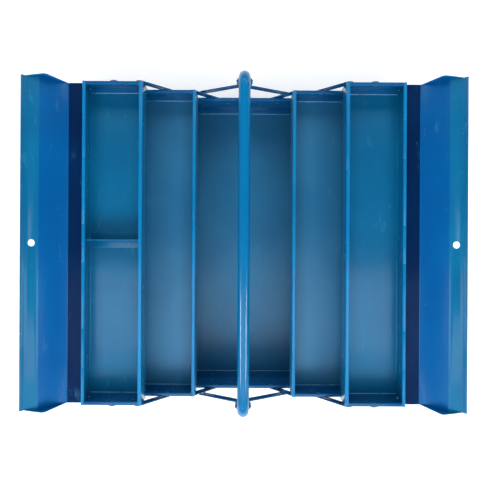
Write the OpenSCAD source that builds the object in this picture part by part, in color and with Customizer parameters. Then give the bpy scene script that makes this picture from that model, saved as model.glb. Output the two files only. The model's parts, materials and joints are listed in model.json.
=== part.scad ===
// Cantilever tool box with five steel trays, shown open.
// X runs across the box, Y along it, Z up. The origin is at the middle of the base.
// The trays and lids of the left side mirror those of the right side.

/* [Bottom box] */
// Length over the end plates, the same for the box and the trays
box_l = 530; // [400:5:650]
// Width of the bottom box
box_w = 200; // [196:1:230]
// Height of the bottom box
box_h = 88; // [60:1:140]
// Thickness of the steel sheet
sheet = 1; // [0.8:0.1:1.5]
// Width of the turned-in rim
rim_w = 6; // [4:0.5:8]
// Depth of the hem that is turned down inside the rim
hem = 2.5; // [2:0.5:5]
// Bend radius of the floor corners, at the middle of the sheet
corner_r = 3; // [1.5:0.5:6]
// Length of the end plates' flange on the floor
floor_flange = 9; // [5:1:20]

/* [Trays] */
// Width of each tray
tray_w = 99; // [90:1:105]
// Height of each tray
tray_h = 43; // [30:1:43.5]
// Gap between a closed tray's inner edge and the middle of the box
centre_gap = 1; // [0.5:0.5:4]
// Height of the divider above the floor of the upper left tray
divider_h = 38; // [15:1:38]
// Place of the divider along the tray, from the middle
divider_y = 5; // [-150:5:150]
// Length of the divider's feet
divider_foot = 13; // [6:1:25]

/* [Links] */
// Distance between the two pivots of a link
link_l = 61.2; // [61.2:0.1:64]
// Width of the link bars
bar_w = 14; // [10:1:14]
// Thickness of the link bars
bar_t = 1.5; // [1:0.1:2]
// Lean of the links outwards when the box is open, in degrees
open_lean = 41.3; // [20:0.1:43]
// Lean of the links inwards when the box is closed, in degrees
closed_lean = 44; // [30:0.5:44]
// Depth of every pivot below its rim
pivot_drop = 14; // [10:0.5:18]
// Distance of a tray's inner pivots from its inner edge
pivot_in = 7; // [7:0.5:9]
// Gap between neighbouring layers of bars
layer_gap = 0.2; // [0.1:0.05:0.4]
// Diameter of the rivets
rivet_d = 6; // [4:0.5:7]
// Diameter of the rivet heads
rivet_head_d = 10; // [8:0.5:12]
// Height of the rivet heads
rivet_head_h = 1.2; // [0.8:0.1:1.4]
// Radial clearance of the links on their rivets
pivot_fit = 0.05; // [0.02:0.01:0.1]

/* [Handle] */
// Diameter of the handle tube
tube_d = 19; // [14:1:22]
// Height of the handle tube's axis above its pivot
handle_rise = 62; // [55:1:90]
// Bend radius of the handle tube
handle_bend = 30; // [22:1:40]
// Width of the flattened tube ends
flat_w = 28; // [20:1:32]
// Thickness of the flattened tube ends
flat_t = 3; // [2:0.5:5]
// Distance along an inner lower link from its box pivot to the handle bar
bar_seat = 34; // [26:1:40]
// Height of the handle's pivot above the handle bars' lower pivots when open
bar_rise = 41.5; // [36:0.5:50]
// Diameter of the handle bolts
bolt_d = 8; // [5:1:9]

/* [Lids] */
// Opening of the lids, in degrees from closed
lid_open = 150; // [110:1:160]
// Length of the lids over their end flanges
lid_l = 535; // [532:1:540]
// Outer radius of the hinge knuckles
knuckle_r = 3; // [2.5:0.1:3.5]
// Diameter of the hinge pin
pin_d = 3; // [2:0.5:4]
// Number of knuckles on each lid
lid_knuckles = 3; // [1:1:7]
// Length of a lid knuckle
lid_knuckle_l = 62; // [20:1:80]
// Gap between neighbouring knuckles
knuckle_gap = 0.5; // [0.3:0.1:1]
// Slope of the chamfer and of the ridge strip of a closed lid, in degrees
lid_slope = 30; // [20:1:40]
// Length of the chamfer next to the hinge
chamfer_l = 26.5; // [18:0.5:28]
// How far the chamfer stops short of the tray's ends
chamfer_short = 2.5; // [1.5:0.5:8]
// Width of the flat panel
panel_l = 45; // [30:0.5:46]
// Width of the strip with the padlock hole
strip_l = 22; // [18:0.5:22]
// Width of the turned-down lip
lip_l = 7.5; // [4:0.5:8]
// Slope of the lip, in degrees below level when closed
lip_slope = 23; // [0:1:60]
// Diameter of the padlock hole
padlock_d = 11.4; // [8:0.2:14]

/* [Hidden] */
$fn = 48;
SIDES = ["right", "left"];
ENDS = ["front", "rear"];

// Linkage
shift = link_l * (sin(open_lean) + sin(closed_lean));
step_open = link_l * cos(open_lean);
pair = shift - link_l * sin(open_lean);
lower_in = centre_gap + shift;
upper_in = centre_gap + 2 * shift;
lower_rim = box_h + step_open;
upper_rim = box_h + 2 * step_open;
box_pivot_x = lower_in + pivot_in - link_l * sin(open_lean);
box_pivot_z = box_h - pivot_drop;
lower_pivot_x = lower_in + pivot_in;
lower_pivot_z = lower_rim - pivot_drop;
upper_pivot_x = upper_in + pivot_in;
upper_pivot_z = upper_rim - pivot_drop;
end_y = box_l / 2;
bar_r = bar_w / 2;
rivet_r = rivet_d / 2;
link_bore_r = rivet_r + pivot_fit;

// Handle
seat_x = box_pivot_x + bar_seat * sin(open_lean);
seat_z = box_pivot_z + bar_seat * cos(open_lean);
handle_z = seat_z + bar_rise;
flat_y = layer_in(4);
tube_y = flat_y + flat_t / 2;
tube_r = tube_d / 2;
tube_z = handle_z + handle_rise;
flat_up = 16;
nut_t = 2.8;
nut_af = 13;
nut_y = layer_in(2) - nut_t;
washer_r = 8;
washer_t = 1;
bolt_head_h = 4;

// Lid hinge
hinge_x = upper_in + tray_w - knuckle_r;
hinge_z = upper_rim - knuckle_r;
pin_r = pin_d / 2;
pin_fit = 0.05;
lid_pitch = (box_l - 2 * rim_w) / lid_knuckles;
wall_reach = knuckle_r + 0.6;

edge = 0.01;
blue = "#1f6fae";
deep_blue = "#1b4f86";
steel = "#9aa3ab";

// ---- Folded sheet: a constant-thickness profile along a path with rounded bends ----
function turned(v, a) = [v.x * cos(a) - v.y * sin(a), v.x * sin(a) + v.y * cos(a)];
function along(p, q) = (q - p) / norm(q - p);
function left_of(v) = [-v.y, v.x];
function turn(u, v) = atan2(u.x * v.y - u.y * v.x, u * v);
// Each entry is a point of the middle line and the direction square to it there.
function bend(p, q, s, r) =
    let (u = along(p, q), v = along(q, s), a = turn(u, v), side = sign(a), n = left_of(u),
         start = q - u * r * tan(abs(a) / 2), centre = start + n * side * r,
         steps = max(2, ceil(abs(a) / 22.5)))
    [for (i = [0:steps]) let (m = turned(n, a * i / steps)) [centre - m * side * r, m]];
function middle_line(path, radii) = concat(
    [[path[0], left_of(along(path[0], path[1]))]],
    [for (i = [1:len(path) - 2]) each bend(path[i - 1], path[i], path[i + 1], radii[i - 1])],
    [[path[len(path) - 1], left_of(along(path[len(path) - 2], path[len(path) - 1]))]]);
function reversed(list) = [for (i = [len(list) - 1:-1:0]) list[i]];

module folded(path, radii, t) {
    line = middle_line(path, radii);
    polygon(concat([for (e = line) e[0] + e[1] * t / 2], reversed([for (e = line) e[0] - e[1] * t / 2])));
}

// Extrudes a shape drawn in X and Z along Y, about y = 0.
module along_y(length) {
    rotate([90, 0, 0])
        linear_extrude(length, center = true) children();
}

// Extrudes a shape drawn in Y and Z along X, about x = 0.
module along_x(length) {
    rotate([90, 0, 90])
        linear_extrude(length, center = true) children();
}

// Turns a right-hand, rear piece into the one of the named side and end.
module on_side(side) {
    if (side == "left") mirror([1, 0, 0]) children();
    else children();
}

module on_end(end) {
    if (end == "front") mirror([0, 1, 0]) children();
    else children();
}

// A round bar along Y from one distance to another.
module shank(y0, y1, r) {
    translate([0, y0, 0])
        rotate([-90, 0, 0])
            cylinder(h = y1 - y0, r = r);
}

// Layers of bars outside the end plates, counted from 0.
function layer_in(k) = end_y + layer_gap + k * (bar_t + layer_gap);
function layer_out(k) = layer_in(k) + bar_t;

// ---- Boxes and trays ----
// The rim's middle line, from the free hem to the wall, for a wall at x on the given side.
function rim_path(x, h, side) =
    let (m = sheet / 2)
    [[x - side * (rim_w - m), h - hem], [x - side * (rim_w - m), h - m], [x - side * m, h - m]];

module open_shell(w, h) {
    m = sheet / 2;
    left_rim = rim_path(-w / 2, h, -1);
    right_rim = reversed(rim_path(w / 2, h, 1));
    path = concat(left_rim, [[-w / 2 + m, m], [w / 2 - m, m]], right_rim);
    along_y(box_l)
        folded(path, [sheet, sheet * 1.2, corner_r, corner_r, sheet * 1.2, sheet], sheet);
}

// An end plate between two walls, with a rim and a floor flange, at the rear end.
// The top is w_rim wide, where it meets the rims of the walls.
module end_plate(w, h, w_rim_low, w_rim_high) {
    m = sheet / 2;
    inner = w / 2 - sheet;
    notch = hem + sheet;
    difference() {
        union() {
            along_x(w - 2 * sheet)
                folded([[end_y - floor_flange, sheet + m], [end_y - m, sheet + m], [end_y - m, h - notch]],
                       [sheet], sheet);
            translate([(w_rim_high + w_rim_low) / 2, 0, 0])
                along_x(w_rim_high - w_rim_low)
                    folded([[end_y - m, h - notch - sheet], [end_y - m, h - m], [end_y - rim_w + m, h - m],
                            [end_y - rim_w + m, h - hem]], [sheet * 1.2, sheet], sheet);
        }
        for (s = [-1, 1])
            translate([s * inner, end_y - floor_flange, sheet])
                along_y(4 * floor_flange)
                    circle(r = corner_r, $fn = 4);
    }
}

module drilled(xs, z) {
    difference() {
        children();
        for (x = xs)
            translate([x, 0, z])
                shank(end_y - 2 * sheet, end_y + sheet, rivet_r);
    }
}

box_pivots = [for (s = [-1, 1], i = [0, 1]) s * (box_pivot_x + i * pair)];

module box_shell() {
    color(blue) open_shell(box_w, box_h);
}

module box_end(end) {
    color(blue)
        on_end(end)
            drilled(box_pivots, box_pivot_z)
                end_plate(box_w, box_h, -box_w / 2 + rim_w, box_w / 2 - rim_w);
}

module lower_tray_shell(side) {
    color(blue)
        on_side(side)
            translate([lower_in + tray_w / 2, 0, lower_rim - tray_h])
                open_shell(tray_w, tray_h);
}

module lower_tray_end(side, end) {
    color(blue)
        on_side(side)
            on_end(end)
                drilled([for (i = [0:2]) lower_pivot_x + i * pair], lower_pivot_z)
                    translate([lower_in + tray_w / 2, 0, lower_rim - tray_h])
                        end_plate(tray_w, tray_h, -tray_w / 2 + rim_w, tray_w / 2 - rim_w);
}

// The places of the lid's knuckles along Y.
knuckle_places = [for (i = [0:lid_knuckles - 1]) (i - (lid_knuckles - 1) / 2) * lid_pitch];

// The outer wall of an upper tray ends in a rolled knuckle instead of a rim.
module upper_tray_shell(side) {
    m = sheet / 2;
    h = tray_h;
    left_rim = rim_path(-tray_w / 2, h, -1);
    path = concat(left_rim, [[-tray_w / 2 + m, m], [tray_w / 2 - m, m], [tray_w / 2 - m, h - knuckle_r]]);
    color(blue)
        on_side(side)
            difference() {
                union() {
                    translate([upper_in + tray_w / 2, 0, upper_rim - tray_h])
                        along_y(box_l)
                            folded(path, [sheet, sheet * 1.2, corner_r, corner_r], sheet);
                    translate([hinge_x, 0, hinge_z])
                        shank(-end_y, end_y, knuckle_r);
                }
                translate([hinge_x, 0, hinge_z])
                    shank(-end_y - 1, end_y + 1, pin_r);
                for (y = knuckle_places)
                    translate([hinge_x - knuckle_r - 1, y - lid_knuckle_l / 2 - knuckle_gap,
                               hinge_z - knuckle_r - 0.4])
                        cube([2 * knuckle_r + 2, lid_knuckle_l + 2 * knuckle_gap, 3 * knuckle_r]);
            }
}

module upper_tray_end(side, end) {
    color(blue)
        on_side(side)
            on_end(end)
                difference() {
                    drilled([for (i = [0, 1]) upper_pivot_x + i * pair], upper_pivot_z)
                        translate([upper_in + tray_w / 2, 0, upper_rim - tray_h])
                            end_plate(tray_w, tray_h, -tray_w / 2 + rim_w, tray_w / 2 - 2 * knuckle_r - 0.2);
                    translate([hinge_x, end_y, hinge_z])
                        cube([2 * knuckle_r + 0.4, 4 * rim_w, 2 * knuckle_r + 0.4], center = true);
                }
}

// A sheet folded over at the top, whose two leaves turn outwards into feet.
module divider() {
    m = sheet / 2;
    z0 = upper_rim - tray_h + sheet + m;
    top = z0 + divider_h;
    color(blue)
        on_side("left")
            translate([upper_in + tray_w / 2 - knuckle_r / 2, divider_y, 0])
                difference() {
                    along_x(tray_w - 2 * sheet - knuckle_r)
                        union() {
                            for (s = [-1, 1])
                                folded([[s * (divider_foot + m), z0], [s * m, z0], [s * m, top - m]],
                                       [m + edge], sheet);
                            translate([0, top - m])
                                circle(r = sheet);
                        }
                    translate([-tray_w / 2 + knuckle_r / 2 + sheet, 0, upper_rim - hem - 4])
                        cube([2 * rim_w, 8 * sheet, 2 * hem + 8], center = true);
                    translate([tray_w / 2, 0, upper_rim])
                        cube([4 * rim_w, 8 * sheet, 4 * knuckle_r + 1], center = true);
                    for (s = [-1, 1])
                        translate([s * (tray_w / 2 - sheet - knuckle_r / 2), 0, z0 - m])
                            along_y(4 * divider_foot)
                                circle(r = corner_r, $fn = 4);
                }
}

// ---- Rivets and spacers ----
// A rivet through an end plate and a bar: the inner head is inside the tray.
module rivet(y_out) {
    chamfer = rivet_head_h / 2;
    shank(end_y - sheet, y_out, rivet_r);
    translate([0, end_y - sheet, 0])
        rotate([90, 0, 0]) {
            cylinder(h = chamfer, r = rivet_head_d / 2);
            translate([0, 0, chamfer])
                cylinder(h = rivet_head_h - chamfer, r1 = rivet_head_d / 2, r2 = rivet_head_d / 2 - chamfer);
        }
}

module outer_head(y) {
    chamfer = rivet_head_h / 2;
    translate([0, y, 0])
        rotate([-90, 0, 0]) {
            cylinder(h = chamfer, r = rivet_head_d / 2);
            translate([0, 0, chamfer])
                cylinder(h = rivet_head_h - chamfer, r1 = rivet_head_d / 2, r2 = rivet_head_d / 2 - chamfer);
        }
}

// The conical end of a rivet that lies level with the outer face of its bar.
module flush_head(y_face) {
    translate([0, y_face - bar_t / 2, 0])
        rotate([-90, 0, 0])
            cylinder(h = bar_t / 2, r1 = rivet_r, r2 = rivet_r + bar_t / 2);
}

module spacer(y0, y1) {
    difference() {
        shank(y0, y1, rivet_head_d / 2);
        shank(y0 - 1, y1 + 1, link_bore_r);
    }
}

module headed_rivet(k) {
    rivet(layer_out(k) + layer_gap);
    outer_head(layer_out(k) + layer_gap);
}

module box_rivets() {
    color(steel)
        for (end = ENDS, x = box_pivots)
            on_end(end)
                translate([x, 0, box_pivot_z])
                    headed_rivet(0);
}

module lower_tray_rivets(side) {
    color(steel)
        on_side(side)
            for (end = ENDS, i = [0:2])
                on_end(end)
                    translate([lower_pivot_x + i * pair, 0, lower_pivot_z])
                        headed_rivet(i == 0 ? 0 : 1);
}

module lower_tray_spacers(side) {
    color(steel)
        on_side(side)
            for (end = ENDS)
                on_end(end)
                    translate([lower_pivot_x + 2 * pair, 0, lower_pivot_z])
                        spacer(end_y, layer_out(0));
}

module upper_tray_rivets(side) {
    color(steel)
        on_side(side)
            for (end = ENDS) {
                on_end(end)
                    translate([upper_pivot_x, 0, upper_pivot_z]) {
                        rivet(layer_out(1));
                        flush_head(layer_out(1));
                    }
                on_end(end)
                    translate([upper_pivot_x + pair, 0, upper_pivot_z])
                        headed_rivet(1);
            }
}

module upper_tray_spacers(side) {
    color(steel)
        on_side(side)
            for (end = ENDS, i = [0, 1])
                on_end(end)
                    translate([upper_pivot_x + i * pair, 0, upper_pivot_z])
                        spacer(end_y, layer_out(0));
}

// ---- Link bars ----
// A flat bar with round ends between two pivots, in layer k.
module bar(p, q, k, r0, r1, sunk = false) {
    length = norm(q - p);
    lean = atan2(q.x - p.x, q.y - p.y);
    translate([p.x, 0, p.y])
        rotate([0, lean, 0])
            difference() {
                union() {
                    shank(layer_in(k), layer_out(k), bar_r);
                    translate([0, 0, length])
                        shank(layer_in(k), layer_out(k), bar_r);
                    translate([-bar_r, layer_in(k), 0])
                        cube([bar_w, bar_t, length]);
                }
                shank(layer_in(k) - 1, layer_out(k) + 1, r0);
                translate([0, 0, length])
                    shank(layer_in(k) - 1, layer_out(k) + 1, r1);
                if (sunk)
                    translate([0, layer_out(k) - bar_t / 2 - pivot_fit, length])
                        rotate([-90, 0, 0])
                            cylinder(h = bar_t / 2 + pivot_fit + edge, r1 = link_bore_r,
                                     r2 = link_bore_r + bar_t / 2 + pivot_fit + edge);
            }
}

module lower_link(side, end, i) {
    x = box_pivot_x + i * pair;
    reach = [link_l * sin(open_lean), step_open];
    color(deep_blue)
        on_side(side)
            on_end(end)
                difference() {
                    bar([x, box_pivot_z], [x, box_pivot_z] + reach, 0, link_bore_r, link_bore_r);
                    if (i == 0)
                        translate([seat_x, 0, seat_z])
                            shank(layer_in(0) - 1, layer_out(0) + 1, rivet_r);
                }
}

module upper_link(side, end, i) {
    x = lower_pivot_x + (i + 1) * pair;
    reach = [link_l * sin(open_lean), step_open];
    color(deep_blue)
        on_side(side)
            on_end(end)
                bar([x, lower_pivot_z], [x, lower_pivot_z] + reach, 1, link_bore_r, link_bore_r, i == 0);
}

// The right handle bars run in layer 2, the left ones in layer 3, next to the handle.
function handle_layer(side) = side == "right" ? 2 : 3;

// The left bars turn on the bolts; the right bars hold the bolts' tips.
module handle_bar(side, end) {
    top_r = bolt_d / 2 + (side == "left" ? pivot_fit : 0);
    color(deep_blue)
        on_side(side)
            on_end(end)
                bar([seat_x, seat_z], [0, handle_z], handle_layer(side), link_bore_r, top_r);
}

module handle_bar_rivets(side) {
    k = handle_layer(side);
    color(steel)
        on_side(side)
            for (end = ENDS)
                on_end(end)
                    translate([seat_x, 0, seat_z]) {
                        shank(layer_in(0), layer_out(k) + layer_gap, rivet_r);
                        outer_head(layer_out(k) + layer_gap);
                    }
}

module handle_bar_spacers(side) {
    k = handle_layer(side);
    color(steel)
        on_side(side)
            for (end = ENDS)
                on_end(end)
                    translate([seat_x, 0, seat_z])
                        spacer(layer_out(0), layer_out(k - 1));
}

// ---- Handle ----
// The wall of the tube pressed flat: a cone cut by two planes that close towards the flat.
module flattening(z0, z1) {
    half = flat_t / 2;
    over = 0.3;
    intersection() {
        translate([0, tube_y, z0])
            cylinder(h = z1 - z0, r1 = norm([flat_w / 2, half]), r2 = tube_r);
        along_x(2 * flat_w)
            polygon([[tube_y - half, z0], [tube_y + half, z0],
                     [tube_y + tube_r + over, z1], [tube_y - tube_r - over, z1]]);
    }
}

module handle_end() {
    translate([0, flat_y, handle_z])
        shank(0, flat_t, flat_w / 2);
    translate([-flat_w / 2, flat_y, handle_z])
        cube([flat_w, flat_t, flat_up]);
    flattening(handle_z + flat_up, tube_z - handle_bend);
    translate([0, tube_y - handle_bend, tube_z - handle_bend])
        rotate([90, 0, 90])
            rotate_extrude(angle = 90)
                translate([handle_bend, 0])
                    circle(r = tube_r);
}

module handle() {
    color(blue)
        difference() {
            union() {
                for (end = ENDS)
                    on_end(end) handle_end();
                translate([0, 0, tube_z])
                    shank(handle_bend - tube_y, tube_y - handle_bend, tube_r);
            }
            for (end = ENDS)
                on_end(end)
                    translate([0, 0, handle_z])
                        shank(flat_y - 1, flat_y + flat_t + 1, bolt_d / 2 + pivot_fit);
        }
}

// Each bolt is parted where it leaves the left bar, so that either part turns with its own bar.
module handle_bolts() {
    head = flat_y + flat_t + washer_t;
    color(steel)
        for (end = ENDS)
            on_end(end)
                translate([0, 0, handle_z]) {
                    shank(layer_in(3), head, bolt_d / 2);
                    shank(head, head + bolt_head_h, nut_af / sqrt(3), $fn = 6);
                }
}

module handle_bolt_tips() {
    color(steel)
        for (end = ENDS)
            on_end(end)
                translate([0, 0, handle_z])
                    shank(nut_y, layer_out(2), bolt_d / 2);
}

module handle_washers() {
    color(steel)
        for (end = ENDS)
            on_end(end)
                translate([0, 0, handle_z])
                    difference() {
                        shank(flat_y + flat_t, flat_y + flat_t + washer_t, washer_r);
                        shank(flat_y, flat_y + flat_t + 2 * washer_t, bolt_d / 2);
                    }
}

module handle_nuts() {
    color(steel)
        for (end = ENDS)
            on_end(end)
                translate([0, 0, handle_z])
                    difference() {
                        shank(nut_y, nut_y + nut_t, nut_af / sqrt(3), $fn = 6);
                        shank(nut_y - 1, nut_y + nut_t + 1, bolt_d / 2);
                    }
}

// ---- Lids ----
// Middle line of a closed lid in its own frame: the hinge axis at 0, +x towards the middle of the box.
m_lid = sheet / 2;
tangent = (knuckle_r - m_lid) * [-sin(lid_slope), cos(lid_slope)];
chamfer_end = tangent + chamfer_l * [cos(lid_slope), sin(lid_slope)];
panel_end = chamfer_end + panel_l * [1, 0];
strip_end = panel_end + strip_l * [cos(lid_slope), sin(lid_slope)];
lip_end = strip_end + lip_l * [cos(lip_slope), -sin(lip_slope)];
strip_mid = (panel_end + strip_end) / 2;
main_start = tangent + (wall_reach + knuckle_r / 2) * [cos(lid_slope), sin(lid_slope)];

module closed_lid() {
    knuckle_span = tangent + (wall_reach + knuckle_r) * [cos(lid_slope), sin(lid_slope)];
    difference() {
        union() {
            // The chamfer stays inside the tray's length; the rest covers the ends.
            along_y(box_l - 2 * chamfer_short)
                folded([main_start, chamfer_end, chamfer_end + [2, 0]], [1.5], sheet);
            along_y(lid_l)
                folded([chamfer_end + [1.5, 0], panel_end, strip_end, lip_end], [2.5, 1.5], sheet);
            for (s = [-1, 1])
                translate([0, s * (lid_l - sheet) / 2, 0])
                    along_y(sheet)
                        polygon([chamfer_end + [1.5, 0], [panel_end.x * 0.8, 0], [panel_end.x - 4, 1],
                                 strip_mid - [0, 6], strip_end - [3, 4], strip_end - [0, m_lid],
                                 panel_end]);
            for (y = knuckle_places)
                translate([0, y, 0]) {
                    shank(-lid_knuckle_l / 2, lid_knuckle_l / 2, knuckle_r);
                    along_y(lid_knuckle_l)
                        folded([tangent, (tangent + knuckle_span) / 2, knuckle_span], [1], sheet);
                }
        }
        shank(-end_y, end_y, pin_r + pin_fit);
        translate([strip_mid.x, 0, strip_mid.y])
            rotate([0, -lid_slope, 0])
                cylinder(h = 10 * sheet, d = padlock_d, center = true);
    }
}

module lid(side) {
    color(blue)
        on_side(side)
            translate([hinge_x, 0, hinge_z])
                rotate([0, lid_open, 0])
                    mirror([1, 0, 0])
                        closed_lid();
}

module hinge_pin(side) {
    color(steel)
        on_side(side)
            translate([hinge_x, 0, hinge_z])
                shank(-end_y + 1, end_y - 1, pin_r);
}

// ---- Every node by its name ----
box_shell();
box_rivets();
divider();  // left_upper_tray_divider
handle();
handle_bolts();
handle_bolt_tips();
handle_washers();
handle_nuts();
for (end = ENDS)
    box_end(end);
for (side = SIDES) {
    lower_tray_shell(side);
    lower_tray_rivets(side);
    lower_tray_spacers(side);
    upper_tray_shell(side);
    upper_tray_rivets(side);
    upper_tray_spacers(side);
    lid(side);
    hinge_pin(side);
    handle_bar_rivets(side);
    handle_bar_spacers(side);
    for (end = ENDS) {
        lower_tray_end(side, end);
        upper_tray_end(side, end);
        lower_link(side, end, 0);
        lower_link(side, end, 1);
        upper_link(side, end, 0);
        upper_link(side, end, 1);
        handle_bar(side, end);
    }
}
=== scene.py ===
"""Cantilever tool box with five steel trays, shown open and seen from straight above.

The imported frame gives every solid. Its sheet-metal pieces and fasteners are copied and given
rounded edges. The lids, the handle and the weld marks are modelled here. Sizes are in metres.
"""

import json
import logging
import math
from dataclasses import dataclass
from enum import Enum
from typing import Any, Callable, NamedTuple

import bpy
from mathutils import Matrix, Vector

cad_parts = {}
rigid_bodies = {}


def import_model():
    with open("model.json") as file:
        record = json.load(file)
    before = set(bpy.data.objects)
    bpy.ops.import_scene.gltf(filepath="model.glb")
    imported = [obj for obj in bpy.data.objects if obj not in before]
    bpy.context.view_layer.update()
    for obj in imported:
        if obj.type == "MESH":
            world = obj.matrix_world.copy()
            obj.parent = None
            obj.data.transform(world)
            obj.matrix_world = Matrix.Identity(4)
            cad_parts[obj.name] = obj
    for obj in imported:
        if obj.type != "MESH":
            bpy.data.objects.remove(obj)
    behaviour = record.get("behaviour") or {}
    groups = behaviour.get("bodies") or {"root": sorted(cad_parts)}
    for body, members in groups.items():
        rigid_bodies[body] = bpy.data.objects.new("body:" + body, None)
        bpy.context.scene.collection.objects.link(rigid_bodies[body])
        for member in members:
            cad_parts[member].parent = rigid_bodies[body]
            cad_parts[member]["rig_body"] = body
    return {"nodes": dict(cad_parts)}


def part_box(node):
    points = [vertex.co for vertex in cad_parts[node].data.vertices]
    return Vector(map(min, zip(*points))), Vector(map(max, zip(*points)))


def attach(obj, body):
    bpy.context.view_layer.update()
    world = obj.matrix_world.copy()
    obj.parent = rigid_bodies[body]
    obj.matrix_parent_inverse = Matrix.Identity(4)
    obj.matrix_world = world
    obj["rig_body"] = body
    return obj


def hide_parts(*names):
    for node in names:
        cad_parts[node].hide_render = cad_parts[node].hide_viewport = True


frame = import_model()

LOG = logging.getLogger("tool_box")
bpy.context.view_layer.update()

Colour = tuple[float, float, float]
Point = tuple[float, float, float]
Pair = tuple[float, float]

EVEN: Point = (1.0, 1.0, 1.0)
EDGE_WIDTH = 0.00022
SHARP_ANGLE = math.radians(50)
FLAT_ANGLE = math.radians(0.4)
WELD_DISTANCE = 0.000005
FOLD_DISTANCE = 0.0001
UPRIGHT = (math.pi / 2, 0.0, 0.0)
FASTENERS = ("rivets", "spacers", "pin", "bolts", "tips", "washers", "nuts")


class Direction(Enum):
    """A direction from the middle of the box."""

    @property
    def word(self) -> str:
        """Its name in the frame.

        Returns:
            The name.
        """
        return self.name.lower()


class Side(Direction):
    """A side of the box, with the sign of its X."""

    LEFT = -1
    RIGHT = 1


class End(Direction):
    """An end of the box, with the sign of its Y."""

    FRONT = -1
    REAR = 1


class Slot(Enum):
    """The record's material slots."""

    PAINT = "blue_paint"
    ZINC = "zinc"


class SheetCoat(Enum):
    """The places of the finishes on a sheet-metal piece."""

    BASE = 0
    EDGE = 1
    # A shell's rim, which takes a lighter copy of the enamel: painted light.
    RIM = 2


class LidCoat(Enum):
    """The places of the finishes on a lid."""

    # The panel and the rest of the leaf short of the strip, which take a darker copy of the enamel:
    # painted shade.
    PANEL = 0
    EDGE = 1
    STRIP = 2
    # The chamfer's inner face, which takes a near-black copy of the enamel: painted shade.
    CHAMFER = 3
    # The knuckles, which take the rim's lighter copy: painted light.
    KNUCKLE = 4


# ---- Shader expressions ----


@dataclass(frozen=True)
class Value:
    """A value that varies over a surface. Operators on it add Math nodes.

    Attributes:
        graph: The node tree that it belongs to.
        socket: The output that carries it.
    """

    graph: "Graph"
    socket: bpy.types.NodeSocket

    def _math(self, operation: str, *terms: Any) -> "Value":
        """Adds one Math node and returns its result."""
        return self.graph.node("ShaderNodeMath", {"operation": operation}, dict(enumerate(terms)))

    def __add__(self, other: Any) -> "Value":
        """self + other."""
        return self._math("ADD", self, other)

    def __radd__(self, other: Any) -> "Value":
        """other + self."""
        return self._math("ADD", other, self)

    def __rsub__(self, other: Any) -> "Value":
        """other - self."""
        return self._math("SUBTRACT", other, self)

    def __mul__(self, other: Any) -> "Value":
        """self * other."""
        return self._math("MULTIPLY", self, other)

    def stretch(self, low: float, high: float) -> "Value":
        """Spreads the range from low to high smoothly over 0 to 1.

        Args:
            low: The value that becomes 0.
            high: The value that becomes 1.

        Returns:
            The spread value, clamped.
        """
        return self.graph.node(
            "ShaderNodeMapRange",
            {"interpolation_type": "SMOOTHSTEP"},
            {0: self, 1: low, 2: high, 3: 0.0, 4: 1.0},
        )


class Graph:
    """The node tree of one material."""

    def __init__(self, name: str) -> None:
        """Makes an empty material.

        Args:
            name: The material's name.
        """
        self.material = bpy.data.materials.new(name)
        self.material.use_nodes = True
        self.tree = self.material.node_tree
        self.tree.nodes.clear()

    def node(
        self, kind: str, settings: dict[str, Any], inputs: dict[Any, Any], out: int | str = 0
    ) -> Value:
        """Adds one node.

        Args:
            kind: The node's type.
            settings: Properties of the node, which are set first.
            inputs: A number, colour or Value for each input, by name or place.
            out: The output to return.

        Returns:
            The chosen output.
        """
        made = self.tree.nodes.new(kind)
        for name, setting in settings.items():
            setattr(made, name, setting)
        for place, given in inputs.items():
            if isinstance(given, Value):
                self.tree.links.new(given.socket, made.inputs[place])
            else:
                made.inputs[place].default_value = given
        return Value(self, made.outputs[out])

    def place(self, stretch: Point) -> Value:
        """Object coordinates, multiplied by a factor along each axis.

        Args:
            stretch: The factor along X, Y and Z.

        Returns:
            The coordinates.
        """
        where = self.node("ShaderNodeTexCoord", {}, {}, "Object")
        return self.node("ShaderNodeMapping", {}, {"Vector": where, "Scale": stretch})

    def away(self, stretch: Point = EVEN) -> Value:
        """The distance from the object's origin, with a factor along each axis.

        Args:
            stretch: The factor along X, Y and Z.

        Returns:
            The distance in metres.
        """
        where = self.place(stretch)
        return self.node("ShaderNodeVectorMath", {"operation": "LENGTH"}, {0: where}, "Value")

    def noise(
        self, scale: float, detail: float = 1.0, rough: float = 0.5, along: Point = EVEN
    ) -> Value:
        """Noise from 0 to 1.

        Args:
            scale: Features per metre.
            detail: The number of finer layers.
            rough: How strong the finer layers are.
            along: The factor on the coordinates along each axis; below 1 it draws features out.

        Returns:
            The noise.
        """
        inputs = {"Scale": scale, "Detail": detail, "Roughness": rough}
        return self.node("ShaderNodeTexNoise", {}, {"Vector": self.place(along), **inputs})

    def blend(self, share: Any, low: Any, high: Any) -> Value:
        """Mixes two colours.

        Args:
            share: The share of the second colour.
            low: The first colour.
            high: The second colour.

        Returns:
            The mixed colour.
        """
        ends = [given if isinstance(given, Value) else (*given, 1.0) for given in (low, high)]
        inputs = {0: share, 6: ends[0], 7: ends[1]}
        return self.node("ShaderNodeMix", {"data_type": "RGBA"}, inputs, 2)

    def bump(self, height: Value, strength: float, distance: float) -> Value:
        """A normal from a height.

        Args:
            height: The height, from 0 to 1.
            strength: The share of the effect.
            distance: What a height of 1 stands for, in metres.

        Returns:
            The normal.
        """
        inputs = {"Height": height, "Strength": strength, "Distance": distance}
        return self.node("ShaderNodeBump", {}, inputs)

    def finish(self, inputs: dict[str, Any]) -> bpy.types.Material:
        """Adds the shader and the output.

        Args:
            inputs: The shader's sockets.

        Returns:
            The finished material.
        """
        shader = self.node("ShaderNodeBsdfPrincipled", {}, inputs)
        target = self.tree.nodes.new("ShaderNodeOutputMaterial")
        self.tree.links.new(shader.socket, target.inputs["Surface"])
        return self.material


# ---- Finishes ----


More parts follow.
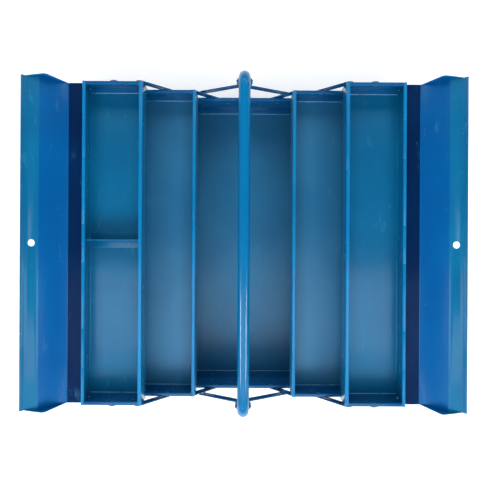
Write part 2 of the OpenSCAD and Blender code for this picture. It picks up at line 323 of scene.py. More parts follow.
@dataclass(frozen=True)
class Enamel:
    """Glossy blue enamel on steel sheet, with orange peel, handling marks and, where asked, a
    painted glint along an edge.

    Attributes:
        name: The material's name.
        deep: Its darker tone.
        light: Its lighter tone.
        mark: The colour of handling marks.
        gloss: The least roughness.
        mark_share: How strong the marks are.
        peel: How strong the orange peel is.
        shine: The specular level.
        coat: The weight of the clear coat where it isn't scuffed.
        coat_rough: The coat's roughness.
        rubbed: The colour of the painted glint along an edge.
        rubbed_at: How far from the middle along Y a painted glint lines an edge, or 0 for none.
        rubbed_width: How far the painted glint reaches outwards from there.
        peel_depth: The height of the orange peel, in metres.
        coat_ior: The coat's refractive index.
    """

    name: str
    deep: Colour = (0.001, 0.112, 0.265)
    light: Colour = (0.002, 0.147, 0.315)
    mark: Colour = (0.05, 0.23, 0.42)
    gloss: float = 0.22
    mark_share: float = 0.35
    peel: float = 0.3
    shine: float = 0.32
    coat: float = 0.25
    coat_rough: float = 0.12
    rubbed: Colour = (0.28, 0.52, 0.74)
    rubbed_at: float = 0.0
    rubbed_width: float = 0.0013
    peel_depth: float = 0.0012
    coat_ior: float = 1.45

    def build(self) -> bpy.types.Material:
        """Makes the material.

        Returns:
            The material.
        """
        graph = Graph(self.name)
        cloud = graph.noise(scale=9.0, detail=3.0)
        streaks = graph.noise(scale=130.0, detail=3.0, along=(1.0, 0.12, 1.0))
        patches = graph.noise(scale=55.0, detail=5.0, rough=0.62, along=(1.0, 0.35, 1.0))
        specks = graph.noise(scale=900.0)
        skin, dents = graph.noise(scale=420.0), graph.noise(scale=24.0)
        scuff = patches.stretch(0.6, 0.72)
        marks = scuff * specks.stretch(0.35, 0.6) * self.mark_share
        tone = cloud.stretch(0.3, 0.7) * 0.7 + streaks * 0.3
        paint = graph.blend(tone, self.deep, self.light)
        # A pale line painted along the edge at this distance along Y, broken up by noise: a painted
        # glint of the edge catching light.
        if self.rubbed_at:
            across = graph.away((0.0, 1.0, 0.0))
            beyond = across.stretch(self.rubbed_at, self.rubbed_at + self.rubbed_width)
            gaps = graph.noise(scale=60.0, detail=3.0, along=(1.0, 0.2, 1.0))
            paint = graph.blend((1.0 - beyond) * gaps.stretch(0.25, 0.5), paint, self.rubbed)
        relief = skin * 0.16 + dents * 0.84
        sockets = {
            "Base Color": graph.blend(marks, paint, self.mark),
            "Roughness": self.gloss + cloud * 0.08 + marks * 0.5,
            "Metallic": 0.0,
            "Specular IOR Level": self.shine,
            "Coat Weight": self.coat - scuff * (0.8 * self.coat),
            "Coat Roughness": self.coat_rough,
            "Coat IOR": self.coat_ior,
            "Normal": graph.bump(relief, self.peel, self.peel_depth),
        }
        return graph.finish(sockets)


@dataclass(frozen=True)
class WornEdge:
    """Enamel that is rubbed thin along an edge, with small chips down to the steel.

    Attributes:
        name: The material's name.
        rubbed: The thin enamel's darker tone.
        lighter: The factor from it to the lighter tone.
        chip: The colour of the steel.
    """

    name: str
    rubbed: Colour = (0.001, 0.26, 0.58)
    lighter: float = 1.25
    chip: Colour = (0.33, 0.4, 0.46)

    def build(self) -> bpy.types.Material:
        """Makes the material.

        Returns:
            The material.
        """
        graph = Graph(self.name)
        chips = graph.noise(scale=160.0, detail=4.0, rough=0.6).stretch(0.62, 0.66)
        tone = graph.noise(scale=40.0, detail=2.0)
        skin = graph.noise(scale=500.0, detail=2.0)
        rubbed = graph.blend(tone, self.rubbed, tuple(part * self.lighter for part in self.rubbed))
        sockets = {
            "Base Color": graph.blend(chips, rubbed, self.chip),
            "Roughness": 0.2 + chips * 0.2 + tone * 0.06,
            "Metallic": chips * 0.8,
            "Specular IOR Level": 0.35,
            "Coat Weight": 0.3 - chips * 0.3,
            "Coat Roughness": 0.1,
            "Normal": graph.bump(skin, strength=0.15, distance=0.0004),
        }
        return graph.finish(sockets)


@dataclass(frozen=True)
class ZincPlate:
    """Bright zinc on rivets, bolts and pins, with a faint clouded passivation.

    Attributes:
        name: The material's name.
        bright: Its lighter tone.
        dull: Its darker tone.
    """

    name: str
    bright: Colour = (0.62, 0.65, 0.68)
    dull: Colour = (0.4, 0.41, 0.4)

    def build(self) -> bpy.types.Material:
        """Makes the material.

        Returns:
            The material.
        """
        graph = Graph(self.name)
        cloud = graph.noise(scale=350.0, detail=4.0, rough=0.6)
        relief = cloud * 0.6 + graph.noise(scale=2400.0) * 0.4
        sockets = {
            "Base Color": graph.blend(cloud.stretch(0.35, 0.7), self.bright, self.dull),
            "Roughness": 0.24 + cloud * 0.22,
            "Metallic": 1.0,
            "Normal": graph.bump(relief, strength=0.2, distance=0.0003),
        }
        return graph.finish(sockets)


class Finishes:
    """The finishes that the pieces share."""

    def __init__(self) -> None:
        """Builds every finish once."""
        self.sheet = Enamel("blue_enamel").build()
        # A greyer, rougher copy of the enamel with more marks, for the box and the lower trays.
        self.used = Enamel(
            "used_enamel",
            deep=(0.013, 0.13, 0.28),
            light=(0.024, 0.168, 0.33),
            gloss=0.34,
            mark_share=0.6,
            coat_rough=0.3,
        ).build()
        # Darker copy of the enamel for the end plates: painted shade. Its pale line along the floor
        # flanges' edge is a painted glint.
        self.ends = Enamel(
            "end_enamel", deep=(0.001, 0.075, 0.22), light=(0.002, 0.1, 0.27), rubbed_at=0.256
        ).build()
        # Darker, bluer copy of the enamel with less gloss for the lid's panel, while the strip of
        # the same sheet keeps the plain enamel: painted shade for the panel's tilt.
        self.panel = Enamel(
            "lid_enamel",
            deep=(0.0005, 0.084, 0.29),
            light=(0.0005, 0.106, 0.332),
            shine=0.12,
            coat=0.1,
        ).build()
        # Near-black copy of the enamel for the chamfer's inner face: painted shade standing in for
        # the trough between the tray's wall and the lid's panel.
        self.shade = Enamel(
            "chamfer_enamel",
            deep=(0.001, 0.0125, 0.057),
            light=(0.0015, 0.0205, 0.08),
            shine=0.05,
            coat=0.03,
        ).build()
        # Lighter copy of the enamel for the up-facing rims of the shells and the lid's knuckles:
        # painted light, standing in for the rims catching more light than walls and floors.
        self.rim = Enamel(
            "rim_enamel", deep=(0.001, 0.156, 0.395), light=(0.002, 0.206, 0.468), mark_share=0.5
        ).build()
        self.link = Enamel(
            "link_enamel", deep=(0.001, 0.045, 0.14), light=(0.003, 0.07, 0.2)
        ).build()
        self.handle = Enamel(
            "handle_enamel",
            deep=(0.001, 0.133, 0.338),
            light=(0.001, 0.163, 0.38),
            gloss=0.16,
            mark_share=0.2,
            peel=0.1,
            shine=0.12,
            coat=0.3,
            coat_rough=0.05,
        ).build()
        self.edge = WornEdge("worn_edge").build()
        self.zinc = ZincPlate("zinc_plate").build()


# ---- Modelling ----


@dataclass(frozen=True)
class Piece:
    """A mesh object that is modelled with Blender's operators.

    Attributes:
        thing: The object.
    """

    thing: bpy.types.Object

    @staticmethod
    def start(name: str, primitive: Callable[..., Any], **sizes: Any) -> "Piece":
        """Adds a primitive as a new piece.

        Args:
            name: The piece's name.
            primitive: The operator that adds it.
            **sizes: The operator's arguments.

        Returns:
            The new piece.
        """
        bpy.ops.object.select_all(action="DESELECT")
        primitive(**sizes)
        thing = bpy.context.object
        thing.name = thing.data.name = name
        return Piece(thing)

    @staticmethod
    def copy_of(node: str) -> "Piece":
        """Copies a solid of the frame into a piece of its own, welded and cleaned.

        Args:
            node: The solid's name in the frame.

        Returns:
            The new piece, which stands for the solid.
        """
        source = frame["nodes"][node]
        thing = bpy.data.objects.new(f"{node}_shaped", source.data.copy())
        bpy.context.scene.collection.objects.link(thing)
        piece = Piece(thing)
        piece.edit()
        bpy.ops.mesh.customdata_custom_splitnormals_clear()
        bpy.ops.mesh.remove_doubles(threshold=WELD_DISTANCE)
        bpy.ops.mesh.dissolve_limited(angle_limit=FLAT_ANGLE)
        piece.rest()
        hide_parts(node)
        return piece

    def freeze(self) -> None:
        """Applies the object's place, turn and scale to its mesh."""
        self.only()
        bpy.ops.object.transform_apply(location=True, rotation=True, scale=True)

    def only(self) -> None:
        """Selects this piece alone and makes it active."""
        bpy.ops.object.select_all(action="DESELECT")
        self.thing.select_set(True)
        bpy.context.view_layer.objects.active = self.thing

    def edit(self) -> None:
        """Enters edit mode with everything selected."""
        self.only()
        bpy.ops.object.mode_set(mode="EDIT")
        bpy.ops.mesh.select_all(action="SELECT")

    def rest(self) -> None:
        """Leaves edit mode."""
        bpy.ops.object.mode_set(mode="OBJECT")

    def pick_fold(self, fold: Pair) -> None:
        """Selects the edge along Y at a fold, in edit mode.

        Args:
            fold: The fold's X and Z.
        """
        bpy.ops.mesh.select_mode(type="VERT")
        bpy.ops.mesh.select_all(action="DESELECT")
        self.rest()
        for vertex in self.thing.data.vertices:
            gap = math.hypot(vertex.co.x - fold[0], vertex.co.z - fold[1])
            vertex.select = gap < FOLD_DISTANCE
        bpy.ops.object.mode_set(mode="EDIT")
        bpy.ops.mesh.select_mode(type="VERT")
        bpy.ops.mesh.select_mode(type="EDGE")

    def modify(self, kind: str, **settings: Any) -> None:
        """Adds a modifier and applies it.

        Args:
            kind: The modifier's type.
            **settings: Its properties.
        """
        self.only()
        modifier = self.thing.modifiers.new(kind.lower(), kind)
        for name, setting in settings.items():
            setattr(modifier, name, setting)
        bpy.ops.object.modifier_apply(modifier=modifier.name)

    def drill(self, **sizes: Any) -> None:
        """Cuts a round hole.

        Args:
            **sizes: The arguments of the cylinder that is cut out.
        """
        bit = Piece.start("bit", bpy.ops.mesh.primitive_cylinder_add, **sizes)
        self.modify("BOOLEAN", operation="DIFFERENCE", object=bit.thing, solver="EXACT")
        bpy.data.objects.remove(bit.thing)

    def round_edges(self, width: float, worn: bool = True) -> None:
        """Rounds the sharp edges.

        Args:
            width: The width of the rounding.
            worn: Whether the roundings take the second finish.
        """
        self.modify(
            "BEVEL",
            width=width,
            segments=2,
            limit_method="ANGLE",
            angle_limit=SHARP_ANGLE,
            use_clamp_overlap=False,
            material=SheetCoat.EDGE.value if worn else -1,
        )

    def paint(self, *finishes: bpy.types.Material) -> None:
        """Gives the piece its finishes.

        Args:
            *finishes: The materials, in slot order.
        """
        self.thing.data.materials.clear()
        for finish in finishes:
            self.thing.data.materials.append(finish)

    def smooth(self, degrees: float = 35.0) -> None:
        """Shades the piece smooth, apart from edges sharper than an angle.

        Args:
            degrees: The angle.
        """
        self.only()
        bpy.ops.object.shade_smooth_by_angle(angle=math.radians(degrees))

    def settle(self, body: str, slot: Slot) -> None:
        """Brings the object to the origin and lets it ride on a body.

        Args:
            body: The body's name.
            slot: The record's material slot; not used.
        """
        self.freeze()
        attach(self.thing, body)
        LOG.info("%s rides on %s, %d faces", self.thing.name, body, len(self.thing.data.polygons))


def join(parts: list[Piece], name: str) -> Piece:
    """Joins pieces into the first of them.

    Args:
        parts: The pieces.
        name: The joined piece's name.

    Returns:
        The joined piece.
    """
    first = parts[0]
    first.only()
    for part in parts[1:]:
        part.thing.select_set(True)
    bpy.ops.object.join()
    first.thing.name = first.thing.data.name = name
    return first


def body_of(node: str) -> str:
    """The body that a solid of the frame rides on.

    Args:
        node: The solid's name.

    Returns:
        The body's name.
    """
    return frame["nodes"][node]["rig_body"]


# ---- The box and its trays ----


@dataclass
class SheetWork:
    """The folded shells, end plates, divider and bars: solids of the frame with rounded edges.

    Attributes:
        finishes: The shared finishes.
        rim_depth: How far below a shell's top its rim's lighter finish, painted light, reaches.
        rim_rise: The least upward part of the normal of a rim's face.
    """

    finishes: Finishes
    rim_depth: float = 0.0045
    rim_rise: float = 0.3

    def shape(self, node: str, finish: bpy.types.Material) -> None:
        """Rounds and paints one solid.

        Args:
            node: The solid's name.
            finish: Its paint, apart from a shell's rim, which takes a lighter copy as painted
                light.
        """
        piece = Piece.copy_of(node)
        piece.paint(finish, self.finishes.edge, self.finishes.rim)
        # Faces near a shell's top that face upwards take the rim's lighter copy: painted light.
        rim_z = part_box(node)[1].z - self.rim_depth
        for face in piece.thing.data.polygons:
            rim = node.endswith("shell") and face.normal.z > self.rim_rise and face.center.z > rim_z
            face.material_index = (SheetCoat.RIM if rim else SheetCoat.BASE).value
        piece.round_edges(EDGE_WIDTH)
        piece.smooth()
        piece.settle(body_of(node), Slot.PAINT)

    def build(self) -> None:
        """Shapes every sheet-metal solid."""
        levels = ("lower", "upper")
        trays = [f"{side.word}_{level}_tray" for side in Side for level in levels]
        for group in ["box", *trays]:
            # The box and the lower trays take the greyer, rougher copy with more marks.
            finish = self.finishes.sheet if "upper" in group else self.finishes.used
            self.shape(f"{group}_shell", finish)
            for end in End:
                # The end plates take the darker copy, painted shade, with a painted glint along the
                # flanges' edge.
                self.shape(f"{group}_end_{end.word}", self.finishes.ends)
        self.shape("left_upper_tray_divider", self.finishes.sheet)
        links = [f"{level}_{place}_link" for level in levels for place in ("inner", "outer")]
        for side in Side:
            for end in End:
                for bar in [*links, "handle_bar"]:
                    self.shape(f"{side.word}_{bar}_{end.word}", self.finishes.link)


@dataclass
class Fasteners:
    """Rivets, spacers, pins, bolts, washers and nuts, with rounded edges and bright zinc.

    Attributes:
        finishes: The shared finishes.
        edge_width: The width of the roundings.
    """

    finishes: Finishes
    edge_width: float = 0.00018

    def build(self) -> None:
        """Shapes every fastener."""
        for node in sorted(frame["nodes"]):
            if node.endswith(FASTENERS):
                piece = Piece.copy_of(node)
                piece.paint(self.finishes.zinc)
                piece.round_edges(self.edge_width, worn=False)
                piece.smooth(40.0)
                piece.settle(body_of(node), Slot.ZINC)


@dataclass
class WeldMarks:
    """The round spot-weld marks that show on the floor flanges of the bottom box.

    Attributes:
        finishes: The shared finishes.
        radius: A mark's radius.
        height: The height of its raised ring.
        reach: The distance of the marks from the middle along X.
        from_end: Their distance from the end plate's outer face.
        floor: The height of the flanges' upper face, two sheets thick.
        rings: Each inset's width as a share of the radius, and its rise as a share of the height.
    """

    finishes: Finishes
    radius: float = 0.0026
    height: float = 0.00022
    reach: float = 0.046
    from_end: float = 0.006
    floor: float = 0.002
    rings: tuple[Pair, ...] = ((0.16, 1.0), (0.2, 0.0), (0.2, -0.6), (0.2, -0.2))

    def build(self) -> None:
        """Models the four marks as one piece."""
        marks = [self.mark(across, end) for across in (-self.reach, self.reach) for end in End]
        piece = join(marks, "box_weld_marks")
        piece.paint(self.finishes.sheet)
        piece.smooth(60.0)
        piece.settle("bottom_box", Slot.PAINT)

    def mark(self, across: float, end: End) -> Piece:
        """Models one mark.

        Args:
            across: Its place along X.
            end: The end of the box.

        Returns:
            The mark.
        """
        end_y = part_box("box_end_rear")[1].y
        mark = Piece.start(
            "box_weld_marks",
            bpy.ops.mesh.primitive_circle_add,
            vertices=24,
            radius=self.radius,
            fill_type="NGON",
            location=(across, end.value * (end_y - self.from_end), self.floor),
        )
        mark.edit()
        for share, rise in self.rings:
            bpy.ops.mesh.inset(thickness=self.radius * share, depth=self.height * rise)
        mark.rest()
        return mark


# ---- Handle ----


@dataclass
class Handle:
    """A steel tube bent down at both ends, whose ends are pressed flat and drilled.

    Attributes:
        finishes: The shared finishes.
        tube_r: The tube's radius.
        bend_r: The radius of the bends, at the tube's axis.
        flat_width: The width of the pressed ends.
        flat_thick: Their thickness.
        flat_up: How far above the hole they are pressed fully flat.
        bore_r: The holes' radius.
        bore_steps: The number of points round a hole.
        ring: The number of points round the tube.
        bend_steps: The number of steps of a bend.
        press_steps: The number of steps from round to flat.
        tip_steps: The number of steps round a tip.
        weld: How near to each other points are merged.
    """

    finishes: Finishes
    tube_r: float = 0.0095
    bend_r: float = 0.030
    flat_width: float = 0.028
    flat_thick: float = 0.003
    flat_up: float = 0.016
    bore_r: float = 0.00405
    bore_steps: int = 32
    ring: int = 40
    bend_steps: int = 14
    press_steps: int = 10
    tip_steps: int = 8
    weld: float = 0.00001

    def build(self) -> None:
        """Models the rear half, mirrors it and drills the ends."""
        low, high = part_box("handle")
        axis_z, tube_y = high.z - self.tube_r, high.y - self.tube_r
        bend_y, bend_z = tube_y - self.bend_r, axis_z - self.bend_r
        pivot_z = low.z + self.flat_width / 2
        tube = Piece.start(
            "handle_tube",
            bpy.ops.mesh.primitive_circle_add,
            vertices=self.ring,
            radius=self.tube_r,
            location=(0.0, 0.0, axis_z),
            rotation=UPRIGHT,
        )
        tube.freeze()
        tube.edit()
        bpy.ops.mesh.extrude_region_move(TRANSFORM_OT_translate={"value": (0.0, bend_y, 0.0)})
        bpy.ops.mesh.spin(
            steps=self.bend_steps,
            angle=math.pi / 2,
            center=(0.0, bend_y, bend_z),
            axis=(1.0, 0.0, 0.0),
        )
        self.press(tube, tube_y, bend_z, pivot_z)
        tube.rest()
        tube.modify("MIRROR", use_axis=(False, True, False), merge_threshold=2 * self.weld)
        tube.edit()
        bpy.ops.mesh.remove_doubles(threshold=self.weld)
        bpy.ops.mesh.normals_make_consistent(inside=False)
        tube.rest()
        for end in End:
            tube.drill(
                vertices=self.bore_steps,
                radius=self.bore_r,
                depth=6 * self.flat_thick,
                location=(0.0, end.value * tube_y, pivot_z),
                rotation=UPRIGHT,
            )
        tube.paint(self.finishes.handle)
        tube.smooth(40.0)
        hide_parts("handle")
        tube.settle("handle", Slot.PAINT)

    def stages(self, bend_z: float, pivot_z: float) -> list[Point]:
        """The rings of the pressed end, from the bend down to the tip.

        Args:
            bend_z: The height where the bend ends.
            pivot_z: The height of the bolt's hole.

        Returns:
            Each ring's height, its share of the pressing, and half the flat bar's width there.
        """
        half_w = self.flat_width / 2
        fall = pivot_z + self.flat_up - bend_z
        shares = [step / self.press_steps for step in range(1, self.press_steps + 1)]
        turns = [step * math.pi / 2 / self.tip_steps for step in range(self.tip_steps)]
        pressed = [(bend_z + fall * share, share, half_w) for share in shares]
        tip = [(pivot_z - half_w * math.sin(turn), 1.0, half_w * math.cos(turn)) for turn in turns]
        return pressed + tip

    def press(self, tube: Piece, tube_y: float, bend_z: float, pivot_z: float) -> None:
        """Extrudes the end down while it is pressed from round to flat, and rounds off its tip.

        Each vertex keeps its turn round the tube, read from the nearest point of the ring above.

        Args:
            tube: The piece, in edit mode with its last ring selected.
            tube_y: The Y of the tube's axis there.
            bend_z: The height where the bend ends.
            pivot_z: The height of the bolt's hole.
        """
        turns = [2.0 * math.pi * k / self.ring for k in range(self.ring)]
        above = [(*self.section(turn, 0.0, self.flat_width / 2), turn) for turn in turns]
        before = bend_z
        for z, share, wide in self.stages(bend_z, pivot_z):
            step = (0.0, 0.0, z - before)
            bpy.ops.mesh.extrude_region_move(TRANSFORM_OT_translate={"value": step})
            before = z
            tube.rest()
            ease = share * share * (3.0 - 2.0 * share)
            for vertex in tube.thing.data.vertices:
                if vertex.select:
                    dx, dy = vertex.co.x, vertex.co.y - tube_y
                    turn = min(above, key=lambda known: math.hypot(known[0] - dx, known[1] - dy))[2]
                    x, y = self.section(turn, ease, wide)
                    vertex.co.x, vertex.co.y = x, tube_y + y
            above = [(*self.section(turn, ease, wide), turn) for turn in turns]
            bpy.ops.object.mode_set(mode="EDIT")
        bpy.ops.mesh.edge_face_add()

    def section(self, turn: float, ease: float, wide: float) -> Pair:
        """Places a point of the section between a round tube and a flat bar with round edges.

        Args:
            turn: The point's place round the tube, as an angle.
            ease: The share of the pressing, from 0 to 1.
            wide: Half the width of the flat bar.

        Returns:
            The point's X and Y from the axis.
        """
        half_t = self.flat_thick / 2
        round_x, round_y = self.tube_r * math.cos(turn), self.tube_r * math.sin(turn)
        flat_x = wide * (2.0 / math.pi) * math.asin(math.cos(turn))
        edge = max(0.0, 1.0 - abs(flat_x) / wide) * wide
        flat_y = math.copysign(half_t * math.sqrt(min(1.0, edge / half_t)), math.sin(turn))
        return round_x + (flat_x - round_x) * ease, round_y + (flat_y - round_y) * ease


# ---- Lids ----


class Folds(NamedTuple):
    """The X and Z of the closed lid's folds, with the hinge's axis at 0.

    Attributes:
        start: Where the chamfer's line meets the knuckles.
        chamfer: Where the chamfer ends and the panel starts.
        panel: Where the panel ends.
        strip: Where the strip ends.
        lip: Where the lip ends.
    """

    start: Pair
    chamfer: Pair
    panel: Pair
    strip: Pair
    lip: Pair


@dataclass
class Lid:
    """A folded lid with a chamfer, a flat panel, a padlock strip, a lip, end flanges and knuckles.

    Attributes:
        finishes: The shared finishes.
        side: The side of the box.
        sheet: The sheet's thickness.
        length: The panel's length, over the flanges.
        chamfer_length: The chamfer's length.
        knuckle_r: The knuckles' outer radius.
        pin_r: Their inner radius.
        slope: The slope of the chamfer and of the strip, in degrees.
        chamfer: The chamfer's width.
        panel: The panel's width.
        strip: The strip's width.
        lip: The lip's width.
        lip_slope: The lip's slope, in degrees.
        opened: How far the lid is open, in degrees.
        panel_fold_r: The radius of the folds beside the panel, the strip and the lip.
        chamfer_fold_r: The radius of the chamfer's fold.
        knuckles: The number of knuckles.
        knuckle_length: A knuckle's length.
        knuckle_steps: The number of points round it.
        knuckle_zone: How far from the hinge's axis the knuckles' finish, the rim's lighter copy and
            so painted light, reaches, in radii.
        rim: The tray's room at each end without knuckles.
        box_length: The tray's length.
        padlock_d: The padlock hole's diameter.
        padlock_steps: The number of points round it.
        hinge_gap: How far from the hinge's axis, along the slope, the chamfer starts.
        tab_overlap: How far a knuckle's tab reaches under the chamfer.
        tongue: How far the chamfer's sheet runs on inside the panel's, and how much it rises.
        seam: How far the panel's sheet starts behind the chamfer's fold.
        taper: How far from the chamfer's fold the panel and its flanges reach their full size.
        heel: How far before the panel's fold the flange's level edge ends, and its height.
        belly: The flange's depth at the middle of the strip.
        toe: How far before and below the strip's end the flange's last corner lies.
        tip: How far before and below the strip's end the flange ends.
    """

    finishes: Finishes
    side: Side
    sheet: float = 0.001
    length: float = 0.535
    chamfer_length: float = 0.525
    knuckle_r: float = 0.003
    pin_r: float = 0.00155
    slope: float = 30.0
    chamfer: float = 0.0265
    panel: float = 0.045
    strip: float = 0.022
    lip: float = 0.0075
    lip_slope: float = 23.0
    opened: float = 150.0
    panel_fold_r: float = 0.0016
    chamfer_fold_r: float = 0.0012
    knuckles: int = 3
    knuckle_length: float = 0.062
    knuckle_steps: int = 28
    knuckle_zone: float = 1.1
    rim: float = 0.006
    box_length: float = 0.530
    padlock_d: float = 0.0114
    padlock_steps: int = 48
    hinge_gap: float = 0.00315
    tab_overlap: float = 0.00004
    tongue: Pair = (0.004, 0.00015)
    seam: float = 0.0005
    taper: float = 0.036
    heel: Pair = (0.004, 0.001)
    belly: float = 0.006
    toe: Pair = (0.003, 0.004)
    tip: Pair = (0.0002, 0.0004)

    def folds(self) -> Folds:
        """The closed lid's middle line, from the hinge to the lip.

        Returns:
            The folds.
        """
        up = math.radians(self.slope)
        down = math.radians(self.lip_slope)
        radius = self.knuckle_r - self.sheet / 2
        start = (-math.sin(up) * radius, math.cos(up) * radius)
        chamfer = self.along_slope(start, self.chamfer)
        panel = (chamfer[0] + self.panel, chamfer[1])
        strip = self.along_slope(panel, self.strip)
        lip = (strip[0] + self.lip * math.cos(down), strip[1] - self.lip * math.sin(down))
        return Folds(start, chamfer, panel, strip, lip)

    def along_slope(self, first: Pair, distance: float) -> Pair:
        """The point at a distance up the slope from another one.

        Args:
            first: The other point's X and Z.
            distance: The distance.

        Returns:
            The point's X and Z.
        """
        up = math.radians(self.slope)
        return (first[0] + distance * math.cos(up), first[1] + distance * math.sin(up))

    def reach(self, x: float) -> float:
        """How far the lid reaches from its middle along Y.

        Args:
            x: The place across the closed lid, from the hinge's axis.

        Returns:
            Half the lid's length there.
        """
        share = min(max((x - self.folds().chamfer[0]) / self.taper, 0.0), 1.0)
        return (self.chamfer_length + share * (self.length - self.chamfer_length)) / 2

    def build(self) -> None:
        """Models the closed lid at the hinge, opens it and puts it in its place."""
        name = f"{self.side.word}_lid"
        parts = [self.leaf(), self.chamfer_leaf()]
        parts += [self.knuckle(place) for place in range(self.knuckles)]
        parts += [part for end in End for part in self.flange(end)]
        lid = join(parts, f"{name}_shaped")
        finishes = self.finishes
        # The panel's darker copy and the chamfer's near-black copy are painted shade; the knuckles'
        # copy of the rim's finish is painted light.
        lid.paint(finishes.panel, finishes.edge, finishes.sheet, finishes.shade, finishes.rim)
        for face in lid.thing.data.polygons:
            face.material_index = self.coat(face.center, face.normal).value
        lid.round_edges(EDGE_WIDTH)
        lid.smooth()
        self.open(lid)
        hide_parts(name)
        lid.settle(name, Slot.PAINT)

    def coat(self, centre: Vector, normal: Vector) -> LidCoat:
        """Picks the finish of a face of the closed lid.

        Args:
            centre: The face's middle.
            normal: Its direction.

        Returns:
            The place of the finish.
        """
        folds = self.folds()
        # The knuckles take the rim's lighter copy, painted light, so that the tray's rim reads as
        # unbroken.
        if math.hypot(centre.x, centre.z) < self.knuckle_zone * self.knuckle_r:
            return LidCoat.KNUCKLE
        # The strip and the lip keep the plain enamel; the rest short of the strip takes the panel's
        # darker copy, painted shade.
        if centre.x > folds.panel[0]:
            return LidCoat.STRIP
        # The chamfer's inner face is painted near black: painted shade for the trough beside the
        # tray's wall.
        inside = centre.x < folds.chamfer[0] - self.seam and normal.z < 0.0
        return LidCoat.CHAMFER if inside else LidCoat.PANEL

    def ribbon(self, name: str, points: list[Pair], length: float, radius: float) -> Piece:
        """Folds a strip of sheet along Y.

        Args:
            name: The piece's name.
            points: The middle line's folds.
            length: The strip's length.
            radius: The radius of its folds.

        Returns:
            The strip, with its thickness.
        """
        (x0, z0), (x1, z1) = points[:2]
        piece = Piece.start(
            name,
            bpy.ops.mesh.primitive_plane_add,
            size=1.0,
            location=((x0 + x1) / 2, 0.0, (z0 + z1) / 2),
            rotation=(0.0, -math.atan2(z1 - z0, x1 - x0), 0.0),
        )
        piece.thing.scale = (math.hypot(x1 - x0, z1 - z0), length, 1.0)
        piece.freeze()
        piece.edit()
        for fold, after in zip(points[1:], points[2:]):
            piece.pick_fold(fold)
            step = (after[0] - fold[0], 0.0, after[1] - fold[1])
            bpy.ops.mesh.extrude_edges_move(TRANSFORM_OT_translate={"value": step})
        for fold in points[1:-1]:
            piece.pick_fold(fold)
            bpy.ops.mesh.bevel(offset=radius, segments=5, offset_type="OFFSET", profile=0.5)
        piece.rest()
        piece.modify("SOLIDIFY", thickness=self.sheet, offset=0.0, use_even_offset=True)
        return piece

    def leaf(self) -> Piece:
        """Folds the panel, the padlock strip and the lip, tapers the panel and drills the strip.

        Returns:
            The leaf.
        """
        _, (x, z), panel, strip, lip = self.folds()
        points = [(x + self.seam, z), (x + self.taper, z), panel, strip, lip]
        leaf = self.ribbon("leaf", points, self.length, self.panel_fold_r)
        for vertex in leaf.thing.data.vertices:
            reach = self.reach(vertex.co.x)
            vertex.co.y = min(max(vertex.co.y, -reach), reach)
        leaf.drill(
            vertices=self.padlock_steps,
            radius=self.padlock_d / 2,
            depth=10 * self.sheet,
            location=((panel[0] + strip[0]) / 2, 0.0, (panel[1] + strip[1]) / 2),
            rotation=(0.0, -math.radians(self.slope), 0.0),
        )
        return leaf

    def chamfer_leaf(self) -> Piece:
        """Folds the chamfer, from behind the knuckles to just inside the panel.

        Returns:
            The chamfer.
        """
        start, (x, z), *_ = self.folds()
        first = self.along_slope(start, self.hinge_gap)
        points = [first, (x, z), (x + self.tongue[0], z + self.tongue[1])]
        return self.ribbon("chamfer", points, self.chamfer_length, self.chamfer_fold_r)

    def flange(self, end: End) -> list[Piece]:
        """An end flange that hangs from the panel and the strip, and tapers to the chamfer's fold.

        Args:
            end: The end of the lid.

        Returns:
            The flange's tapered part and its straight part.
        """
        _, (x, z), panel, strip, _ = self.folds()
        turn = x + self.taper
        tapered = [(x + self.seam, z), (turn, 0.0), (turn, z)]
        straight = [
            (turn, z),
            (turn, 0.0),
            (panel[0] - self.heel[0], self.heel[1]),
            ((panel[0] + strip[0]) / 2, (panel[1] + strip[1]) / 2 - self.belly),
            (strip[0] - self.toe[0], strip[1] - self.toe[1]),
            (strip[0] - self.tip[0], strip[1] - self.tip[1]),
            panel,
        ]
        return [self.plate(end, outline) for outline in (tapered, straight)]

    def plate(self, end: End, outline: list[Pair]) -> Piece:
        """Stands a plate of sheet on an end of the lid.

        Args:
            end: The end of the lid.
            outline: The X and Z of the plate's corners.

        Returns:
            The plate, with its thickness.
        """
        plate = Piece.start(
            "flange",
            bpy.ops.mesh.primitive_circle_add,
            vertices=len(outline),
            fill_type="NGON",
            rotation=UPRIGHT,
        )
        plate.freeze()
        for vertex, (x, z) in zip(plate.thing.data.vertices, outline):
            vertex.co = (x, end.value * (self.reach(x) - self.sheet / 2), z)
        plate.modify("SOLIDIFY", thickness=self.sheet, offset=0.0)
        return plate

    def knuckle(self, place: int) -> Piece:
        """A rolled knuckle with its tab.

        Args:
            place: The knuckle's number.

        Returns:
            The knuckle.
        """
        pitch = (self.box_length - 2 * self.rim) / self.knuckles
        y = (place - (self.knuckles - 1) / 2) * pitch
        roll = Piece.start(
            "knuckle",
            bpy.ops.mesh.primitive_cylinder_add,
            vertices=self.knuckle_steps,
            radius=self.knuckle_r,
            depth=self.knuckle_length,
            end_fill_type="NOTHING",
            location=(0.0, y, 0.0),
            rotation=UPRIGHT,
        )
        roll.modify("SOLIDIFY", thickness=self.knuckle_r - self.pin_r, offset=-1.0)
        start = self.folds().start
        last = self.along_slope(start, self.hinge_gap + self.tab_overlap)
        tab = self.ribbon("tab", [start, last], self.knuckle_length, 0.0)
        tab.edit()
        bpy.ops.transform.translate(value=(0.0, y, 0.0))
        tab.rest()
        return join([roll, tab], "knuckle")

